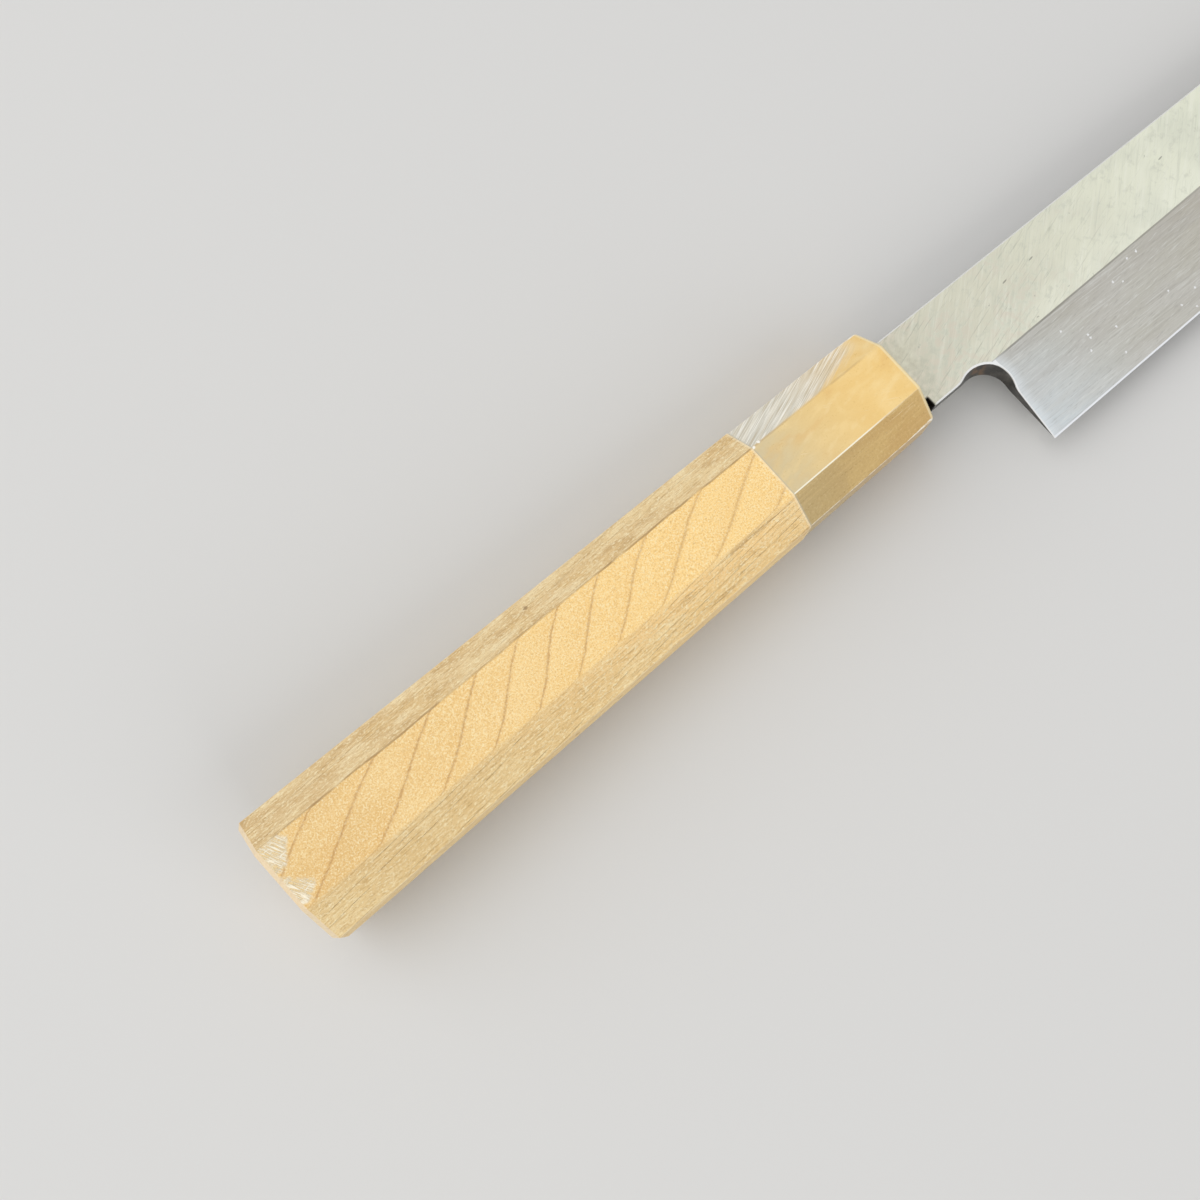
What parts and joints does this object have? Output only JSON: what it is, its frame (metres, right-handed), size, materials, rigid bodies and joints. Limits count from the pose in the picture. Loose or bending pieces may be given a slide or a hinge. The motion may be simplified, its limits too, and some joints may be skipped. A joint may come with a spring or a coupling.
{
  "type": "yanagiba knife",
  "caption": "Long slim slicing knife, ground on one side, with a horn-collared eight-sided wooden handle.",
  "frame": {"origin": "middle of the knife's outline seen from above, level with the handle's lowest facet", "axes": "+X along the handle's axis to the blade's tip, +Y to the spine, +Z out of the bevelled side"},
  "size_m": [0.4171, 0.0408, 0.0217],
  "materials": {
    "steel": "satin flat, brushed bevel, hollow-ground back",
    "horn": "polished blonde horn",
    "wood": "sanded unfinished magnolia"
  },
  "bodies": {
    "root": {"blade": "steel", "ferrule": "horn", "handle": "wood"}
  },
  "joints": []
}
